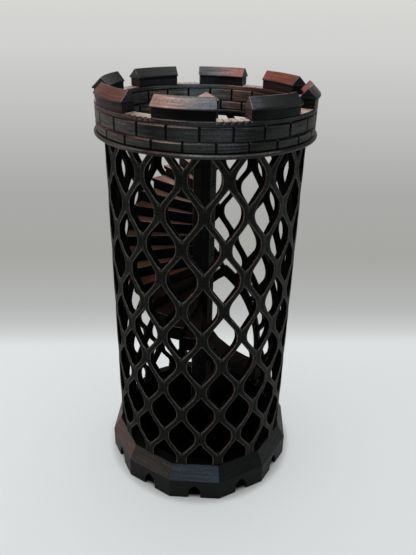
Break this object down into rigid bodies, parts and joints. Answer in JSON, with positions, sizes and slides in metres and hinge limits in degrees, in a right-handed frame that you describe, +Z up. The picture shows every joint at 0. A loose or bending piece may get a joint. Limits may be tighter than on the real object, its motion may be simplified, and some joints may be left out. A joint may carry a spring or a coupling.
{
  "type": "dice tower",
  "caption": "Round castle-style dice tower: lattice shell on a twelve-sided plinth, spiral stair inside, lift-off battlemented crown and a pointed doorway.",
  "frame": {"origin": "centre of the plinth's underside, on the table", "axes": "+Z up along the tower's axis, +Y towards the doorway where the dice leave, +X to the right of someone standing behind the tower and looking out of the doorway"},
  "size_m": [0.1, 0.1, 0.2004],
  "materials": {
    "shell": "dual-colour silk filament, black with copper on faces turned to -X, fine layer lines",
    "stair": "dual-colour silk filament, copper-brown tops and dark fronts, fine layer lines",
    "crown": "dual-colour silk filament, black with copper on faces turned to -X, speckled layer lines",
    "roof": "dual-colour silk filament, satin, copper to blue-grey to black round the tower"
  },
  "bodies": {
    "tower": {"base_plinth": "shell", "floor_plate": "shell", "lattice_shell": "shell", "door_surround": "shell"},
    "crown": {"crown_flange": "crown", "lower_brick_course": "crown", "upper_brick_course": "crown", "walkway_ring": "crown", "merlon_1": "crown", "merlon_2": "crown", "merlon_3": "crown", "merlon_4": "crown", "merlon_5": "crown", "merlon_6": "crown", "merlon_7": "crown", "merlon_8": "crown", "merlon_roof_1": "roof", "merlon_roof_2": "roof", "merlon_roof_3": "roof", "merlon_roof_4": "roof", "merlon_roof_5": "roof", "merlon_roof_6": "roof", "merlon_roof_7": "roof", "merlon_roof_8": "roof"},
    "stair": {"newel_column": "stair", "newel_cap": "stair", "tread_01": "stair", "tread_02": "stair", "tread_03": "stair", "tread_04": "stair", "tread_05": "stair", "tread_06": "stair", "tread_07": "stair", "tread_08": "stair", "tread_09": "stair", "tread_10": "stair", "tread_11": "stair", "tread_12": "stair", "tread_13": "stair", "tread_14": "stair", "tread_15": "stair", "tread_16": "stair", "tread_17": "stair", "tread_18": "stair", "tread_19": "stair", "tread_20": "stair", "tread_21": "stair", "tread_22": "stair", "tread_23": "stair", "tread_24": "stair", "tread_25": "stair", "tread_26": "stair", "tread_27": "stair", "tread_28": "stair"}
  },
  "joints": [
    {"name": "crown_lift", "type": "slide", "parent": "tower", "child": "crown", "axis": [0, 0, 1], "range_m": [0, 0.04]},
    {"name": "stair_lift", "type": "slide", "parent": "tower", "child": "stair", "axis": [0, 0, 1], "range_m": [0, 0.19]}
  ]
}
